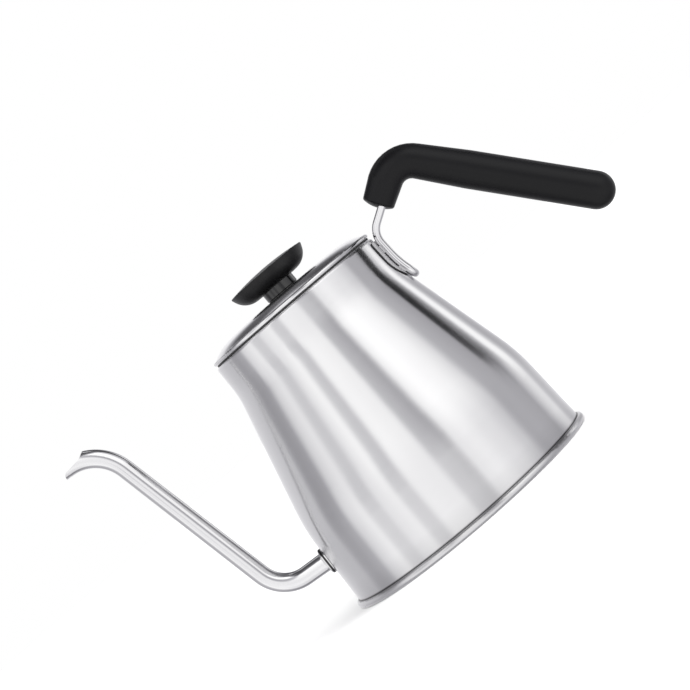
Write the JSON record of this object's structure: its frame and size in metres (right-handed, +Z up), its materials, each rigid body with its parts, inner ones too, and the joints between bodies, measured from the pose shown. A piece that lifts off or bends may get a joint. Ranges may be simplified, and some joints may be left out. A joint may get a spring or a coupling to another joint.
{
  "type": "gooseneck kettle",
  "caption": "Stovetop pour-over kettle with a waisted steel body, a thin gooseneck spout, a rear open handle with a dark grip, and a lift-off domed lid with a round knob.",
  "frame": {"origin": "centre of the base, on the flat surface that the kettle stands on", "axes": "+Z up along the axis of the round body, +X towards the handle, -X towards the spout, +Y across the kettle"},
  "size_m": [0.3047, 0.1472, 0.1648],
  "materials": {
    "body_steel": "brushed round the axis",
    "base_steel": "satin",
    "spout_steel": "fine satin polish",
    "collar_steel": "polished",
    "bracket_steel": "satin",
    "rod_steel": "polished",
    "grip_core": "moulded, hidden",
    "grip_sleeve": "satin black silicone",
    "lid_steel": "brushed, polished hem",
    "skirt_steel": "satin",
    "gasket_rubber": "matte",
    "seal_rubber": "matte",
    "knob_stem": "gloss",
    "knob_body": "satin",
    "knob_cap": "satin",
    "insert_brass": "turned",
    "screw_steel": "bright",
    "washer_steel": "bright"
  },
  "bodies": {
    "kettle": {"body_shell": "body_steel", "base_plate": "base_steel", "spout_tube": "spout_steel", "spout_collar": "collar_steel", "handle_bracket": "bracket_steel", "handle_rod": "rod_steel", "handle_core": "grip_core", "handle_grip": "grip_sleeve"},
    "lid": {"lid_shell": "lid_steel", "lid_skirt": "skirt_steel", "lid_gasket": "gasket_rubber", "knob_seal": "seal_rubber", "knob_stem": "knob_stem", "knob_bowl": "knob_body", "knob_top": "knob_cap", "knob_insert": "insert_brass", "knob_screw": "screw_steel", "knob_washer": "washer_steel"}
  },
  "joints": [
    {"name": "lid_lift", "type": "slide", "parent": "kettle", "child": "lid", "axis": [0, 0, 1], "range_m": [0, 0.06]}
  ]
}
